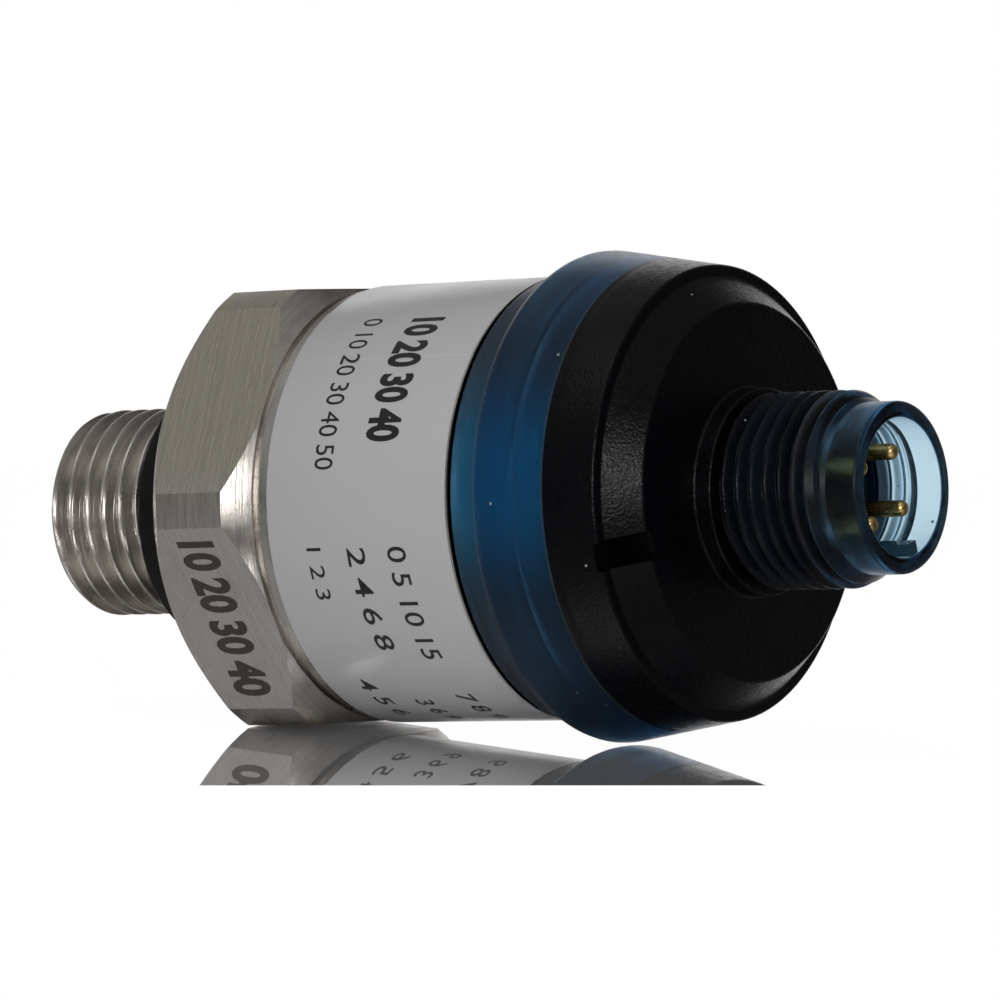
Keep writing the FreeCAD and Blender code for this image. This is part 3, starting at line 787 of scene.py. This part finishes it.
def profile_ring(rubber):
    """Seal that has slid along the undercut and sits askew."""
    inner, outer = NECK_RADIUS + SEAL_PLAY, RING_GROOVE_RADIUS - SEAL_GROOVE_PLAY
    piece = turned("profile_ring", [
        (SEAL_START, inner, 0.15),
        (SEAL_END, inner, 0.15),
        (SEAL_END, outer, 0.3),
        (SEAL_START, outer, 0.3),
    ])
    middle = Vector(((SEAL_START + SEAL_END) / 2 * MM, 0.0, 0.0))
    cant = Matrix.Rotation(SEAL_CANT, 4, "Y")
    piece.data.transform(Matrix.Translation(middle) @ cant @ Matrix.Translation(-middle))
    wear(piece, rubber)
    return piece


def housing(steel):
    """Tube with its lip, the spigot under the head and the step for the head's O-ring."""
    piece = turned("housing", [
        (TUBE_START, TUBE_BORE_RADIUS),
        (TUBE_START, TUBE_RADIUS, 0.12),
        (LIP_START, TUBE_RADIUS, 0.05),
        (LIP_START, LIP_RADIUS, 0.06),
        (LIP_END, LIP_RADIUS, 0.06),
        (LIP_END, SPIGOT_RADIUS, 0.05),
        (SNAP_GROOVE_START, SPIGOT_RADIUS),
        (SNAP_GROOVE_START, SPIGOT_RADIUS - SNAP_HEIGHT),
        (SNAP_GROOVE_END, SPIGOT_RADIUS - SNAP_HEIGHT),
        (SNAP_GROOVE_END, SPIGOT_RADIUS),
        (SEAL_SEAT_START, SPIGOT_RADIUS, 0.1),
        (SEAL_SEAT_START, SEAL_SEAT_RADIUS),
        (TUBE_END, SEAL_SEAT_RADIUS, 0.1),
        (TUBE_END, TUBE_UPPER_BORE_RADIUS),
        (FITTING_END, TUBE_UPPER_BORE_RADIUS),
        (FITTING_END, TUBE_BORE_RADIUS),
    ])
    wear(piece, steel)
    return piece


def lap_height(degrees):
    """How far the lapped end of the label stands above its single film."""
    up = min(max((degrees - LAP_START) / LAP_RAMP, 0.0), 1.0)
    down = min(max((LAP_END - degrees) / LAP_RAMP, 0.0), 1.0)
    return LAP_HEIGHT * min(up, down)


def label_sheet(film):
    """Film round the tube, thicker where its end laps over its start."""
    section = rounded([
        (LABEL_START, TUBE_RADIUS),
        (LABEL_START, LABEL_RADIUS, 0.04),
        (LABEL_END, LABEL_RADIUS, 0.04),
        (LABEL_END, TUBE_RADIUS),
    ], 3)
    lifts = [lap_height(360 * j / LABEL_COLUMNS) for j in range(LABEL_COLUMNS)]
    rows = []
    for x, radius in section:
        on_tube = radius <= TUBE_RADIUS + 0.001
        rows.append([(x, radius if on_tube else radius + lift) for lift in lifts])
    piece = build_turned("label_sheet", [(rows, 0)], LABEL_COLUMNS)
    wear(piece, film)
    return piece


def head(plastic):
    """Moulded head: skirt, tapered body, step, bevel, M12 thread, nose, socket, key and notch."""
    root = PLUG_THREAD_RADIUS - PLUG_THREAD_DEPTH
    nose_height = PLUG_THREAD_RADIUS - NOSE_RADIUS

    def envelope(x):
        """Radius that the thread stays under: lead-in, crests and the chamfer to the nose."""
        lead_in = root - PLUG_UNDER_ROOT + (x - PLUG_BASE_END) * PLUG_LEAD_IN
        chamfer = PLUG_THREAD_RADIUS - (x - PLUG_THREAD_END) * nose_height / PLUG_THREAD_CHAMFER
        return max(min(PLUG_THREAD_RADIUS, lead_in, chamfer), NOSE_RADIUS)

    back = rounded([
        (PLUG_BASE_END, SOCKET_RADIUS),
        (POCKET_END, SOCKET_RADIUS, 0.1),
        (POCKET_END, POCKET_RADIUS, 0.4),
        (HEAD_INNER_SHOULDER, POCKET_RADIUS, 0.2),
        (HEAD_INNER_SHOULDER, HEAD_BORE_RADIUS, 0.4),
        (SNAP_BEAD_END, HEAD_BORE_RADIUS),
        (SNAP_BEAD_TOP, HEAD_BORE_RADIUS - SNAP_HEIGHT, 0.1),
        (SNAP_BEAD_START, HEAD_BORE_RADIUS),
        (HEAD_START, HEAD_BORE_RADIUS, 0.1),
        (HEAD_START, SKIRT_RADIUS, 0.12),
        (SHOULDER, SKIRT_RADIUS, 0.3),
        (SHOULDER, HEAD_RADIUS, 0.8),
        (STEP, CONE_END_RADIUS, 0.2),
        (STEP, STEP_RADIUS, 0.12),
        (FACE, FACE_RADIUS, 0.3),
        (FACE, PLUG_BASE_RADIUS, 0.2),
        (PLUG_BASE_END, PLUG_BASE_RADIUS, 0.15),
        (PLUG_BASE_END, envelope(PLUG_BASE_END)),
    ])[1:]
    thread = thread_rows(
        PLUG_BASE_END, NOSE_START, PLUG_THREAD_PITCH, PLUG_THREAD_RADIUS, PLUG_THREAD_DEPTH,
        PLUG_THREAD_HALF_ANGLE, PLUG_CREST_AT, envelope, PLUG_THREAD_ROWS,
    )
    mouth = rounded([
        (NOSE_START, NOSE_RADIUS),
        (PLUG_END, NOSE_RADIUS, 0.28),
        (PLUG_END, SOCKET_RADIUS, 0.12),
        (PLUG_BASE_END, SOCKET_RADIUS),
    ])
    sections = [(ring_rows(back), 0), (thread, PLUG_THREAD_ROWS), (ring_rows(mouth), 0)]
    piece = build_turned("head", sections)
    notch = box_mesh(
        "notch",
        (STEP - NOTCH_BACK, -NOTCH_HALF_WIDTH, NOTCH_FLOOR),
        (FACE + BEYOND, NOTCH_HALF_WIDTH, HEAD_RADIUS + BEYOND),
        HEAD_TURN + 90.0,
    )
    apply_boolean(piece, notch, "DIFFERENCE")
    key = box_mesh(
        "key",
        (SOCKET_FLOOR, -KEY_HALF_WIDTH, SOCKET_RADIUS - KEY_HEIGHT),
        (PLUG_END - KEY_SETBACK, KEY_HALF_WIDTH, KEY_ROOT_RADIUS),
        HEAD_TURN + 180.0,
    )
    apply_boolean(piece, key, "UNION")
    wear(piece, plastic)
    return piece


def carrier(plastic):
    """Contact carrier with its nose in the socket."""
    piece = turned("carrier", [
        (CARRIER_PLATE_START, VENT_RADIUS),
        (CARRIER_PLATE_START, CARRIER_SKIRT_BORE_RADIUS),
        (OUTPUT_BOARD_END, CARRIER_SKIRT_BORE_RADIUS),
        (OUTPUT_BOARD_END, CARRIER_RADIUS),
        (HEAD_INNER_SHOULDER, CARRIER_RADIUS),
        (HEAD_INNER_SHOULDER, CARRIER_BOSS_RADIUS),
        (POCKET_END, CARRIER_BOSS_RADIUS, 0.4),
        (POCKET_END, CARRIER_NOSE_RADIUS),
        (CARRIER_GROOVE_START, CARRIER_NOSE_RADIUS),
        (CARRIER_GROOVE_START, CARRIER_GROOVE_RADIUS),
        (CARRIER_GROOVE_END, CARRIER_GROOVE_RADIUS),
        (CARRIER_GROOVE_END, CARRIER_NOSE_RADIUS),
        (SOCKET_FLOOR, CARRIER_NOSE_RADIUS, 0.1),
        (SOCKET_FLOOR, VENT_RADIUS, 0.05),
    ])
    wear(piece, plastic)
    return piece


def contact(number, gold):
    """Turned contact pin with a rounded tip."""
    outline = [
        (CONTACT_TAIL_START, CONTACT_CORE_RADIUS),
        (CONTACT_TAIL_START, CONTACT_TAIL_RADIUS),
        (OUTPUT_BOARD_END, CONTACT_TAIL_RADIUS),
        (OUTPUT_BOARD_END, CONTACT_RADIUS),
        (CONTACT_COLLAR_START, CONTACT_RADIUS),
        (CONTACT_COLLAR_START, CONTACT_COLLAR_RADIUS),
        (CONTACT_COLLAR_END, CONTACT_COLLAR_RADIUS),
        (CONTACT_COLLAR_END, CONTACT_RADIUS),
        (CONTACT_TIP, CONTACT_RADIUS, 0.35),
        (CONTACT_TIP, CONTACT_CORE_RADIUS),
    ]
    piece = turned(f"contact_{number}", outline, CONTACT_COLUMNS)
    angle = math.radians(HEAD_TURN + CONTACT_FIRST_AT + 90.0 * (number - 1))
    piece.data.transform(Matrix.Translation(on_axis(0.0, CONTACT_CIRCLE, angle)))
    wear(piece, gold)
    return piece


# --- Print ----------------------------------------------------------------------------------------
DIGIT_HEIGHT = 0.73  # of the built-in font, as a share of its size
SLICE = 0.2  # mm between the cuts that let a line bend
PRINT_LIFT = 0.001  # mm between a surface and the underside of its print
INK_THICKNESS = 0.012
LAP_MARGIN = 0.9  # degrees beside the lap where the print is already raised

# text, x of the baseline, degrees where it starts and ends, height, boldness
LABEL_LINES = [
    ("10 20 30 40", 18.5, 34.5, 73.8, 2.35, 0.13),
    ("0 10 20 30 40 50", 14.7, 33.8, 80.6, 1.45, 0.0),
    ("0 5 10 15", 19.95, 100.8, 134.0, 1.45, 0.01),
    ("2 4 6 8", 16.9, 100.8, 130.5, 1.4, 0.01),
    ("1 2 3", 13.85, 100.6, 114.6, 1.15, 0.0),
    ("4 5 6", 13.5, 141.5, 163.0, 1.2, 0.01),
    ("7 8 9", 19.9, 149.0, 168.0, 1.3, 0.01),
    ("3 6 9", 16.4, 152.0, 168.0, 1.3, 0.01),
]

MARK_TEXT = "10 20 30 40"
MARK_ANGLE = math.radians(120.0)  # of the lower flat on the viewer's side
MARK_BASELINE = 4.75
MARK_LENGTH = 11.2
MARK_HEIGHT = 2.7
MARK_BOLDNESS = 0.16
MARK_THICKNESS = 0.004


def text_mesh(text, height, bold):
    """Flat lettering as a bmesh: x along the line, y up, in mm, starting at the origin."""
    curve = bpy.data.curves.new("print", "FONT")
    curve.body = text
    curve.size = height / DIGIT_HEIGHT
    curve.offset = bold
    curve.space_word = 0.8
    curve.resolution_u = 4
    holder = bpy.data.objects.new("print", curve)
    bpy.context.scene.collection.objects.link(holder)
    depsgraph = bpy.context.evaluated_depsgraph_get()
    data = bpy.data.meshes.new_from_object(holder.evaluated_get(depsgraph))
    bpy.data.objects.remove(holder)
    mesh = bmesh.new()
    mesh.from_mesh(data)
    bpy.data.meshes.remove(data)
    bmesh.ops.remove_doubles(mesh, verts=mesh.verts, dist=1e-4)
    return mesh


def slice_line(mesh):
    """Cut the flat lettering at equal steps along its line, so that it can bend."""
    places = [vertex.co.x for vertex in mesh.verts]
    along = Vector((1.0, 0.0, 0.0))
    place = math.floor(min(places) / SLICE) * SLICE + SLICE
    while place < max(places):
        geometry = mesh.verts[:] + mesh.edges[:] + mesh.faces[:]
        bmesh.ops.bisect_plane(
            mesh, geom=geometry, plane_co=along * place, plane_no=along, dist=1e-5
        )
        place += SLICE


def thicken(mesh, thickness):
    """Give flat lettering a little body."""
    raised = bmesh.ops.extrude_face_region(mesh, geom=mesh.faces[:])["geom"]
    for item in raised:
        if isinstance(item, bmesh.types.BMVert):
            item.co.z += thickness


def fit_line(mesh, length):
    """Stretch or squeeze a line to a length, starting at the origin."""
    places = [vertex.co.x for vertex in mesh.verts]
    low, high = min(places), max(places)
    for vertex in mesh.verts:
        vertex.co.x = (vertex.co.x - low) * length / (high - low)


def wrapped_line(text, x, start, end, height, bold):
    """One printed line of the label: it reads downwards, round the axis, on the viewer's side."""
    radius = LABEL_RADIUS + PRINT_LIFT
    mesh = text_mesh(text, height, bold)
    fit_line(mesh, math.radians(end - start) * radius)
    slice_line(mesh)
    thicken(mesh, INK_THICKNESS)
    for vertex in mesh.verts:
        along, up, out = vertex.co
        angle = math.radians(start) + along / radius
        turn = math.degrees(angle)
        lap = max(lap_height(turn + margin) for margin in (-LAP_MARGIN, 0.0, LAP_MARGIN))
        vertex.co = on_axis(x + up, radius + out + lap, angle)
    return mesh


def joined(name, meshes):
    """One object from several bmeshes."""
    whole = bmesh.new()
    for mesh in meshes:
        part = bpy.data.meshes.new("part")
        mesh.to_mesh(part)
        mesh.free()
        whole.from_mesh(part)
        bpy.data.meshes.remove(part)
    bmesh.ops.recalc_face_normals(whole, faces=whole.faces)
    return finished(name, whole)


def label_print(ink):
    """All printed lines of the label."""
    piece = joined("label_print", [wrapped_line(*line) for line in LABEL_LINES])
    wear(piece, ink)
    return piece


def flat_marking(mark):
    """Laser-marked digits on one flat."""
    mesh = text_mesh(MARK_TEXT, MARK_HEIGHT, MARK_BOLDNESS)
    fit_line(mesh, MARK_LENGTH)
    thicken(mesh, MARK_THICKNESS)
    outward = on_axis(0.0, 1.0, MARK_ANGLE).normalized()
    down = Vector((0.0, -math.cos(MARK_ANGLE), -math.sin(MARK_ANGLE)))
    along_axis = Vector((1.0, 0.0, 0.0))
    for vertex in mesh.verts:
        along, up, out = vertex.co
        place = along_axis * (MARK_BASELINE + up) + down * (along - MARK_LENGTH / 2)
        vertex.co = (place + outward * (ACROSS_FLATS / 2 + PRINT_LIFT + out)) * MM
    piece = joined("flat_marking", [mesh])
    wear(piece, mark)
    return piece


# --- Stage ----------------------------------------------------------------------------------------
CAMERA_AZIMUTH = math.radians(36.21)
CAMERA_DISTANCE = 473.5
CAMERA_TARGET = Vector((18.59, 0.0, 0.373))
CAMERA_ROLL = math.radians(-1.89)
CAMERA_LENS = 275.36
CAMERA_SHIFT = (0.0023, -0.00545)
TOWARDS_CAMERA = Vector((math.sin(CAMERA_AZIMUTH), -math.cos(CAMERA_AZIMUTH), 0.0))

HEXAGON_TOUCH = Vector((COLLAR_END + 0.1, 0.0, -ACROSS_FLATS / 2))  # where the part lies on
HEAD_TOUCH = Vector((27.8, 0.0, -15.13))  # the floor
NEAR_EDGE_DROP = math.radians(2.178)  # the floor's near edge, below the camera's axis
FLOOR_CORNERS = ((-200, 0), (200, 0), (200, 500), (-200, 500))  # sideways and away from that edge

# name, azimuth and elevation in degrees, distance, width and height in mm, watts
LAMPS = [
    ("key", 44.0, 10.0, 800.0, 260.0, 200.0, 2.2),
    ("side", 64.0, 20.0, 800.0, 200.0, 100.0, 0.04),
    ("front", 20.0, 1.0, 700.0, 400.0, 24.0, 0.4),
    ("low", 45.0, -45.0, 800.0, 1200.0, 600.0, 1.35),
    ("top", 15.0, 60.0, 800.0, 600.0, 400.0, 0.8),
]


def camera():
    """Long lens at the height of the part's axis, rolled a little."""
    data = bpy.data.cameras.new("camera")
    data.sensor_width = 36.0
    data.lens = CAMERA_LENS
    data.shift_x, data.shift_y = CAMERA_SHIFT
    data.clip_start = 0.01
    data.clip_end = 10.0
    eye = bpy.data.objects.new("camera", data)
    bpy.context.scene.collection.objects.link(eye)
    upright = Matrix.Rotation(math.radians(90.0), 4, "X")
    level = Matrix.Rotation(CAMERA_AZIMUTH, 4, "Z") @ upright
    place = (CAMERA_TARGET + TOWARDS_CAMERA * CAMERA_DISTANCE) * MM
    eye.matrix_world = Matrix.Translation(place) @ level @ Matrix.Rotation(CAMERA_ROLL, 4, "Z")
    bpy.context.scene.camera = eye


def floor_gloss():
    """White table top: nearly a mirror, with a faint veil that only the camera sees."""
    material = bpy.data.materials.new("floor_gloss")
    m = Tree(material)
    mirror = m.add("ShaderNodeBsdfGlossy")
    mirror.inputs["Color"].default_value = WHITE
    mirror.inputs["Roughness"].default_value = 0.012
    matt = m.add("ShaderNodeBsdfDiffuse")
    matt.inputs["Color"].default_value = WHITE
    mix = m.add("ShaderNodeMixShader")
    mix.inputs["Fac"].default_value = 0.95
    m.link(matt, 0, mix, 1)
    m.link(mirror, 0, mix, 2)
    path = m.add("ShaderNodeLightPath")
    veil = m.add("ShaderNodeEmission")
    m.feed(m.times(path.outputs["Is Camera Ray"], 0.03), veil.inputs["Strength"])
    both = m.add("ShaderNodeAddShader")
    m.link(mix, 0, both, 0)
    m.link(veil, 0, both, 1)
    m.link(both, 0, m.add("ShaderNodeOutputMaterial"), "Surface")
    return material


def floor():
    """Glossy sheet under the hexagon and the head's rim; its near edge is just in front."""
    slope = (HEAD_TOUCH - HEXAGON_TOUCH).normalized()
    upward = slope.cross(Vector((0.0, 1.0, 0.0))).normalized()
    view = bpy.context.scene.camera.matrix_world
    eye = view.translation / MM
    right, top, back = view.to_3x3().col
    sight = -back - top * math.tan(NEAR_EDGE_DROP)
    edge = upward.cross(right.cross(sight)).normalized()
    near = eye + sight * ((HEAD_TOUCH - eye).dot(upward) / sight.dot(upward))
    away = edge.cross(upward).normalized()
    away = away if away.dot(back) < 0 else -away
    mesh = bmesh.new()
    corners = [near + edge * side + away * depth for side, depth in FLOOR_CORNERS]
    mesh.faces.new([mesh.verts.new(corner * MM) for corner in corners])
    piece = finished("floor", mesh)
    wear(piece, floor_gloss())


def world():
    """Studio round the object: white to the camera and behind the object, grey elsewhere.

    The grey is darkest level with the object, and darker on the side away from the camera.
    """
    surroundings = bpy.data.worlds.new("surroundings")
    bpy.context.scene.world = surroundings
    m = Tree(surroundings)
    direction = m.add("ShaderNodeTexCoord").outputs["Generated"]
    behind = m.add("ShaderNodeVectorMath", operation="DOT_PRODUCT")
    m.feed(direction, behind.inputs[0])
    m.feed(-TOWARDS_CAMERA, behind.inputs[1])
    split = m.add("ShaderNodeSeparateXYZ")
    m.feed(direction, split.inputs[0])
    height = m.math("ABSOLUTE", split.outputs["Z"])
    far_side = m.span(split.outputs["Y"], 0.1, 0.6, 1.0, 0.35)
    studio = m.times(m.span(height, 0.05, 0.45, 0.15, 0.29), far_side)
    backdrop = m.span(behind.outputs["Value"], 0.70, 0.92)
    seen = m.add("ShaderNodeLightPath").outputs["Is Camera Ray"]
    strength = m.math("MAXIMUM", m.math("MAXIMUM", studio, backdrop), seen)
    background = m.add("ShaderNodeBackground")
    background.inputs["Color"].default_value = WHITE
    m.feed(strength, background.inputs["Strength"])
    m.link(background, 0, m.add("ShaderNodeOutputWorld"), "Surface")


def softbox(name, azimuth, elevation, distance, width, height, power):
    """Area lamp aimed at the object from an azimuth counted like the camera's."""
    data = bpy.data.lights.new(name, "AREA")
    data.shape = "RECTANGLE"
    data.size = width * MM
    data.size_y = height * MM
    data.energy = power
    lamp = bpy.data.objects.new(name, data)
    bpy.context.scene.collection.objects.link(lamp)
    turn, lift = math.radians(azimuth), math.radians(elevation)
    level = math.cos(lift)
    direction = Vector((math.sin(turn) * level, -math.cos(turn) * level, math.sin(lift)))
    lamp.location = (CAMERA_TARGET + direction * distance) * MM
    lamp.rotation_euler = direction.to_track_quat("Z", "Y").to_euler()


# --- Put together ---------------------------------------------------------------------------------
STEEL_TONE = (0.58, 0.54, 0.50)
steel = turned_steel("turned_steel", STEEL_TONE, 0.24, 0.40)
cone_steel = turned_steel("cone_steel", STEEL_TONE, 0.22, 0.16)
tube_steel = turned_steel("tube_steel", (0.66, 0.625, 0.59), 0.26, 0.30, painted_light_from=UNDER_HEAD)
rubber = seal_rubber()
gold = plated_metal("contact_gold", (0.62, 0.40, 0.13), (0.80, 0.55, 0.22), 0.22)
black_plastic = moulded_plastic(
    "carrier_plastic", (0.012, 0.012, 0.013), (0.022, 0.022, 0.023), 0.45
)

seat(process_fitting(steel, milled_steel(), cone_steel), "steel", "process_fitting")
seat(profile_ring(rubber), "seal_rubber", "seal_ring")
seat(housing(tube_steel), "steel", "housing_tube")
seat(label_sheet(label_film()), "label_film", "label")
seat(head(head_plastic()), "head_plastic", "head_cap")
seat(carrier(black_plastic), "carrier_plastic", "contact_carrier")
for number in range(1, 5):
    seat(contact(number, gold), "contact_gold", f"contact_pin_{number}")
seat(label_print(print_ink()), "label_film")
seat(flat_marking(laser_mark()), "steel")

ceramic = moulded_plastic("ceramic_white", (0.80, 0.79, 0.76), (0.88, 0.87, 0.84), 0.35)
ring_plastic = moulded_plastic("ring_plastic", (0.55, 0.48, 0.36), (0.66, 0.58, 0.45), 0.4)
chip_plastic = moulded_plastic("chip_plastic", (0.02, 0.02, 0.02), (0.04, 0.04, 0.04), 0.5)
board = board_laminate()
wire = plated_metal("lead_metal", (0.60, 0.52, 0.36), (0.78, 0.72, 0.55), 0.3)
capacitor = moulded_plastic("capacitor_ceramic", (0.42, 0.31, 0.19), (0.56, 0.43, 0.28), 0.4)
membrane = moulded_plastic("membrane_white", (0.82, 0.82, 0.82), (0.92, 0.92, 0.92), 0.7)
INNER = {
    "cell_body": ceramic,
    "cell_diaphragm": ceramic,
    "cell_o_ring": rubber,
    "head_o_ring": rubber,
    "carrier_o_ring": rubber,
    "cell_support_ring": ring_plastic,
    "board_seat_ring": ring_plastic,
    "board_spacer": ring_plastic,
    "clamp_ring": steel,
    "cell_leads": wire,
    "link_pins": wire,
    "signal_board": board,
    "output_board": board,
    "amplifier_chip": chip_plastic,
    "controller_chip": chip_plastic,
    "output_driver": chip_plastic,
    "board_capacitors": capacitor,
    "vent_membrane": membrane,
}
for node, material in INNER.items():
    wear(frame["nodes"][node], material)

camera()
floor()
world()
for lamp in LAMPS:
    softbox(*lamp)
